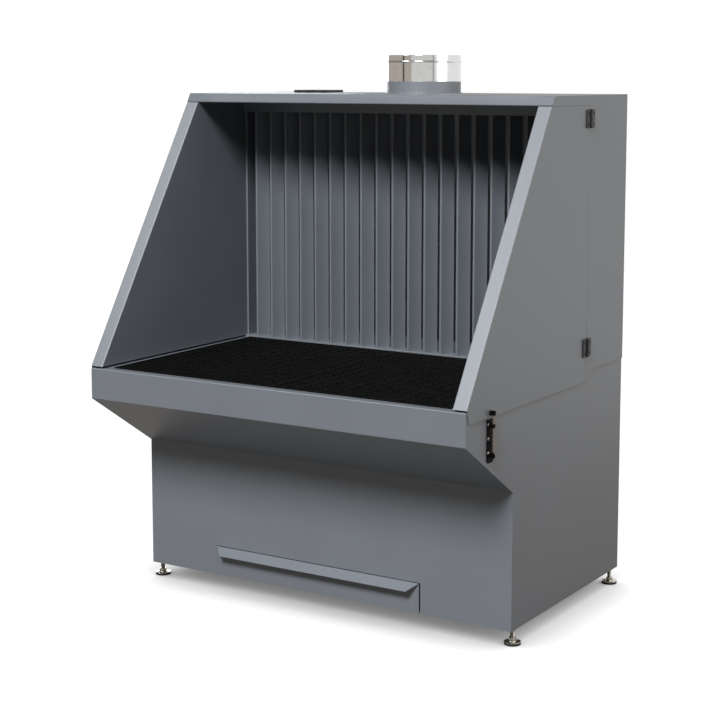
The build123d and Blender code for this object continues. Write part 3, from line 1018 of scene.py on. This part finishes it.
class TABLE_OT_latches(bpy.types.Operator):
    """Build the bolt latches with guides, rods and rivets"""

    bl_idname = "table.latches"
    bl_label = "Bolt latches"

    def execute(self, context):
        rivet_height, rivet_inset = 1.2 * MM, 6 * MM
        rivet_lifts = (34 * MM, 80 * MM, 126 * MM)
        rivet = dome(context.scene.table_sizes.rivet_radius, rivet_height)
        rod_low, rod_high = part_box("bolt_rod_right")
        radius, tip, tip_length = 4.5 * MM, 1.5 * MM, 3 * MM
        axis_x, axis_y = rod_low.x + radius, rod_low.y + radius
        plate_low, plate_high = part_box("bolt_plates")
        plate_foot, plate_top = plate_low.z, plate_high.z
        # The plate's outer face, and how far its toe lies in front of the rod
        face, rod_offset = 0.763, 6 * MM
        guide_heights = (plate_foot + 24 * MM, plate_top - 20 * MM)
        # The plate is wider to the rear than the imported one.
        half, sheet, wide, plate_round = 14 * MM, 3 * MM, 18 * MM, 0.7 * MM
        plate_y = axis_y - rod_offset
        toe_z = plate_foot + half
        outline = [(plate_y + half + wide, plate_top), (plate_y - half, plate_top)]
        outline += arc((plate_y, toe_z), half, math.pi, 1.5 * math.pi, 6)
        toe = arc((plate_y + wide, toe_z), half, 1.5 * math.pi, 2 * math.pi, 6)
        outline += toe[1:]
        rod = [
            (0, rod_low.z),
            (radius - tip, rod_low.z),
            (radius, rod_low.z + tip),
            (radius, rod_high.z - tip_length),
            (radius - tip, rod_high.z),
            (0, rod_high.z),
        ]
        # A grooved knob that sticks out to the rear
        knob_drop = 32.5 * MM
        knob = in_mm(
            (0, 0),
            (3.5, 0),
            (3.5, 24),
            (3.1, 24.5),
            (3.5, 25),
            (3.5, 34.5),
            (2.4, 36),
            (0, 36),
        )
        knob_z = (rod_high.z + rod_low.z) / 2 - knob_drop
        for side in SIDES:
            bm = bmesh.new()
            prism(bm, outline, "X", face - sheet, face)
            soften(bm, rim(bm, "X", face), plate_round, segments=2)
            for height in guide_heights:
                guide(bm, axis_x, axis_y, face, height)
            name = f"bolt_plate_{side}"
            piece(name, bm, "black_latch", replaces=["bolt_plates"], side=side)
            bm = bmesh.new()
            for lift in rivet_lifts:
                place = (face, plate_y - rivet_inset, plate_foot + lift)
                lathe(bm, rivet, place, steps=20, turn=TO_RIGHT)
            piece(
                f"{name}_rivets",
                bm,
                "bright_steel",
                side=side,
                finish="nickel_plated_steel",
            )
            bm = bmesh.new()
            lathe(bm, rod, (axis_x, axis_y, 0))
            lathe(bm, knob, (axis_x, axis_y, knob_z), steps=20, turn=TO_REAR)
            piece(
                f"bolt_rod_{side}_steel",
                bm,
                "bright_steel",
                f"bolt_{side}",
                [f"bolt_rod_{side}"],
                side,
                "dark_drawn_steel",
            )
        return {"FINISHED"}


def guide(bm, axis_x, axis_y, face, height):
    """Add a rolled guide for the bolt rod on the latch plate."""
    half, outer, inner, sink = 6 * MM, 6.9 * MM, 4.6 * MM, 0.5 * MM
    root = face - sink
    axis, quarter = (axis_x, axis_y), math.pi / 2
    outline = arc(axis, outer, -quarter, quarter, 16)
    outline += [(root, axis_y + outer), (root, axis_y + inner)]
    outline += arc(axis, inner, quarter, -quarter, 16)
    outline += [(root, axis_y - inner), (root, axis_y - outer)]
    prism(bm, outline, "Z", height - half, height + half)


class TABLE_OT_feet(bpy.types.Operator):
    """Build the levelling feet with rubber pads and threaded spindles"""

    bl_idname = "table.feet"
    bl_label = "Levelling feet"

    def execute(self, context):
        # Radius and height from the floor: rubber pad, pressed dish, hexagon nut
        pad = in_mm((0, 0), (27, 0), (28.6, 0.8), (28.6, 7.2), (27.5, 8), (0, 8))
        dish = in_mm(
            (0, 8),
            (28.4, 8),
            (29, 8.6),
            (29, 9.6),
            (28.2, 10.4),
            (24, 11.4),
            (15, 13.2),
            (12, 15),
            (0, 15),
        )
        nut = in_mm((0, 15), (11.6, 15), (13, 15.8), (13, 23.2), (11.6, 24), (0, 24))
        root, crest, pitch, nut_top = 7 * MM, 8 * MM, 2 * MM, 24 * MM
        ends = ("front", "rear")
        for node in [f"foot_{end}_{side}" for end in ends for side in SIDES]:
            low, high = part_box(node)
            centre = ((low.x + high.x) / 2, (low.y + high.y) / 2, 0)
            body = f"{node}_leveller"
            bm = bmesh.new()
            lathe(bm, pad, centre, steps=48)
            rubber = "moulded_black_rubber"
            piece(f"{node}_rubber", bm, "nickel_foot", body, finish=rubber)
            bm = bmesh.new()
            lathe(bm, dish, centre, steps=48)
            lathe(bm, nut, centre, steps=6)
            thread = [(0, nut_top)]
            z = nut_top
            while z + pitch < high.z:
                thread += [(root, z), (crest, z + pitch / 2)]
                z += pitch
            thread += [(root, z), (root, high.z), (0, high.z)]
            lathe(bm, thread, centre)
            piece(f"{node}_plated", bm, "nickel_foot", body, [node], angle=25)
        return {"FINISHED"}


# Studio

WHITE = (1, 1, 1, 1)
COOL = (0.98, 1.0, 1.03)
WARM = (1.0, 0.97, 0.92)
BROWN = (1.0, 0.86, 0.74)


def greater(tree, first, second):
    """The greater of two shares."""
    inputs = {0: first, 1: second}
    return add(tree, "ShaderNodeMath", {"operation": "MAXIMUM"}, inputs).outputs[0]


def mixed(tree, share, first, second, blend="MIX"):
    """Mix of two colours, which are sockets 6, 7 and 2 of the node."""
    settings = {"data_type": "RGBA", "blend_type": blend}
    inputs = {0: share, 6: first, 7: second}
    return add(tree, "ShaderNodeMix", settings, inputs).outputs[2]


def seen_by(tree):
    """Two shares: 1 for camera and transmission rays, and 1 for glossy ones too."""
    ray = add(tree, "ShaderNodeLightPath").outputs
    direct = greater(tree, ray["Is Camera Ray"], ray["Is Transmission Ray"])
    return direct, greater(tree, direct, ray["Is Glossy Ray"])


def surroundings(tree, vector, room):
    """What a glossy face sees in a direction: paper, or the room in front."""
    # White paper stands to the right of the table and behind it. In front is
    # the dark room.
    to_paper = (0.71, 0.71, 0)
    aim = add(tree, "ShaderNodeVectorMath", {"operation": "NORMALIZE"}, {0: vector})
    along = add(
        tree,
        "ShaderNodeVectorMath",
        {"operation": "DOT_PRODUCT"},
        {0: aim.outputs["Vector"], 1: to_paper},
    )
    span = {"Value": along.outputs["Value"], "From Min": -1.0, "From Max": 1.0}
    place = add(tree, "ShaderNodeMapRange", None, span).outputs["Result"]
    dark = shade((1, 0.9, 0.8), room)
    return ramp(tree, place, [(0.0, dark), (0.59, dark), (0.68, (1, 0.97, 0.94, 1))])


def add_world(ambient):
    """White to the camera, paper and room to glossy faces, dim for the rest."""
    world = bpy.data.worlds.new("white_studio")
    bpy.context.scene.world = world
    world.use_nodes = True
    tree = world.node_tree
    tree.nodes.clear()
    direct, seen = seen_by(tree)
    place = add(tree, "ShaderNodeTexCoord").outputs["Generated"]
    tint = mixed(tree, direct, surroundings(tree, place, room=0.07), WHITE)
    inputs = {"Color": tint, "Strength": between(tree, seen, (ambient, 1.0))}
    light = add(tree, "ShaderNodeBackground", None, inputs)
    add(tree, "ShaderNodeOutputWorld", None, {"Surface": light.outputs[0]})


def add_floor():
    """Floor of white paper that glows to the camera, with a soft shadow that is mostly
    painted near the table and partly cast by the lamps.
    """
    half_width = 40
    bm = bmesh.new()
    bmesh.ops.create_grid(bm, x_segments=1, y_segments=1, size=half_width)
    mesh = bpy.data.meshes.new("studio_floor")
    bm.to_mesh(mesh)
    bm.free()
    floor = bpy.data.objects.new("studio_floor", mesh)
    bpy.context.scene.collection.objects.link(floor)
    tree, place = new_material("white_studio_paper")
    direct, seen = seen_by(tree)
    # Painted reflection: to glossy rays only, the paper glows dark near the table and
    # white from a step beside it, so the foot of the table's side reflects a darker
    # floor. To the camera the paper is white throughout.
    step = {0: place, 1: (2.4, 2.2, 0)}
    beside = add(tree, "ShaderNodeVectorMath", {"operation": "SUBTRACT"}, step)
    painted_floor_reflection = surroundings(tree, beside.outputs[0], room=0.4)
    # Painted shadow: the closeness of the table, found by ambient occlusion, darkens
    # the paper's glow and its grey under and beside it.
    reach = {"Distance": 0.3}
    near = add(tree, "ShaderNodeAmbientOcclusion", {"samples": 16}, reach).outputs["AO"]
    stops = ((0.0, 0.12), (0.2, 0.36), (0.55, 0.63), (0.84, 1))
    fall = ramp(tree, near, [(level, shade(WHITE, share)) for level, share in stops])
    white = mixed(tree, direct, painted_floor_reflection, WHITE)
    # The painted shadow darkens the glow that the camera and reflections see.
    tone = mixed(tree, 1.0, fall, white, "MULTIPLY")
    glow_with_painted_shadow = add(tree, "ShaderNodeEmission", None, {"Color": tone, "Strength": 1.0})
    none = add(tree, "ShaderNodeEmission", None, {"Strength": 0.0})
    # To the lamps it is a dull grey, so it throws little light on the table. The
    # painted shadow makes it duller still near the table.
    dull = mixed(tree, 1.0, fall, (0.12, 0.12, 0.12, 1), "MULTIPLY")
    paper = add(tree, "ShaderNodeBsdfDiffuse", None, {"Color": dull})
    lights = {0: seen, 1: none.outputs[0], 2: glow_with_painted_shadow.outputs[0]}
    lit = add(tree, "ShaderNodeMixShader", None, lights)
    both = {0: paper.outputs[0], 1: lit.outputs[0]}
    both = add(tree, "ShaderNodeAddShader", None, both)
    add(tree, "ShaderNodeOutputMaterial", None, {"Surface": both.outputs[0]})
    mesh.materials.append(MATERIALS["white_studio_paper"])


def add_lamp(name, watts, size, place, aim, tint, spared=None):
    """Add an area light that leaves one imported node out, if any is spared.

    A card has no light of its own for the table: only reflections show it.
    """
    card = name.endswith("_card")
    data = bpy.data.lights.new(name, "AREA")
    data.shape = "RECTANGLE" if card else "ELLIPSE"
    data.size, data.size_y = size
    data.energy = watts
    data.color = tint
    lamp = bpy.data.objects.new(name, data)
    bpy.context.scene.collection.objects.link(lamp)
    lamp.location = place
    direction = Vector(aim) - Vector(place)
    lamp.rotation_euler = direction.to_track_quat("-Z", "Y").to_euler()
    lamp.visible_camera = False
    lamp.visible_diffuse = not card
    if spared:
        group = bpy.data.collections.new(name)
        group.objects.link(NODES[spared])
        group.collection_objects[0].light_linking.link_state = "EXCLUDE"
        lamp.light_linking.receiver_collection = group


def add_duct_card(name, watts, width, place, aim, tint):
    """Add a low, level card that draws one band in the zinc of the duct."""
    card_height, level = 0.24, 1.95
    size = (width, card_height)
    add_lamp(name, watts, size, (*place, level), (*aim, level), tint)


class TABLE_OT_stage(bpy.types.Operator):
    """Set up the floor, the lights, the world and the camera"""

    bl_idname = "table.stage"
    bl_label = "Studio"

    def execute(self, context):
        studio = context.scene.table_studio
        scene = context.scene
        scene.view_settings.view_transform = "Standard"
        add_world(studio.ambient)
        add_floor()
        # The back of the suction chamber stays as dark as in the photo.
        add_lamp(
            "key_lamp",
            studio.key_power,
            (5.6, 5.2),
            (2.4, -11.9, 12.4),
            (0, -0.2, 1.1),
            COOL,
            "housing_rear_panel",
        )
        watts, place, aim = studio.side_power, (3.3, 0.3, 2.1), (0.7, 0.2, 1.3)
        add_lamp("side_lamp", watts, (2, 2), place, aim, WARM)
        watts, place, aim = studio.rear_power, (-4.6, 4.6, 2.2), (0, 0, 1.1)
        add_lamp("rear_lamp", watts, (3, 3), place, aim, COOL)
        # This one glints on the slanted fronts of the wings, not on the roof.
        add_lamp(
            "glint_card",
            310,
            (2.5, 2.5),
            (-4.2, -5.2, 7.5),
            (0, -0.2, 1.3),
            COOL,
            "roof_panel",
        )
        duct_y, card_y = 0.447, -0.02
        add_duct_card("left_card", 0.42, 1.3, (-0.75, 0.25), (0, duct_y), BROWN)
        for name, watts, width, x, tint in (
            ("seam_card", 0.061, 0.19, -0.125, BROWN),
            ("front_card", 0.345, 0.69, 0.315, WARM),
        ):
            add_duct_card(name, watts, width, (x, card_y), (x, duct_y), tint)
        # The camera was fitted to points of the table in the photo.
        tilt_down, heading = 7.38, 32.09
        data = bpy.data.cameras.new("photo_camera")
        data.sensor_width = 36
        data.lens = studio.focal_length
        data.shift_y = -0.10
        data.clip_end = 200
        camera = bpy.data.objects.new("photo_camera", data)
        scene.collection.objects.link(camera)
        camera.location = (3.173, -5.067, 1.900)
        tilt = math.radians(90 - tilt_down)
        camera.rotation_euler = (tilt, 0, math.radians(heading))
        scene.camera = camera
        return {"FINISHED"}


class TABLE_PT_panel(bpy.types.Panel):
    """Sidebar panel of the downdraft table"""

    bl_label = "Downdraft Table"
    bl_idname = "TABLE_PT_panel"
    bl_space_type = "VIEW_3D"
    bl_region_type = "UI"
    bl_category = "Downdraft Table"

    def draw(self, context):
        layout = self.layout
        for group in ("table_sizes", "table_colours", "table_studio"):
            settings = getattr(context.scene, group)
            box = layout.box()
            for name in settings.__annotations__:
                box.prop(settings, name)
        for operator in STEPS:
            layout.operator(operator.bl_idname)


STEPS = (
    TABLE_OT_finishes,
    TABLE_OT_wings,
    TABLE_OT_louvres,
    TABLE_OT_drawer,
    TABLE_OT_gratings,
    TABLE_OT_duct,
    TABLE_OT_cover,
    TABLE_OT_hinges,
    TABLE_OT_latches,
    TABLE_OT_feet,
    TABLE_OT_stage,
)
GROUPS = (TableSizes, TableColours, TableStudio)


def register():
    for cls in (*GROUPS, *STEPS, TABLE_PT_panel):
        bpy.utils.register_class(cls)
    bpy.types.Scene.table_sizes = PointerProperty(type=TableSizes)
    bpy.types.Scene.table_colours = PointerProperty(type=TableColours)
    bpy.types.Scene.table_studio = PointerProperty(type=TableStudio)


def unregister():
    del bpy.types.Scene.table_sizes
    del bpy.types.Scene.table_colours
    del bpy.types.Scene.table_studio
    for cls in reversed((*GROUPS, *STEPS, TABLE_PT_panel)):
        bpy.utils.unregister_class(cls)


def main():
    register()
    for operator in STEPS:
        group, name = operator.bl_idname.split(".")
        getattr(getattr(bpy.ops, group), name)()


if __name__ == "__main__":
    main()
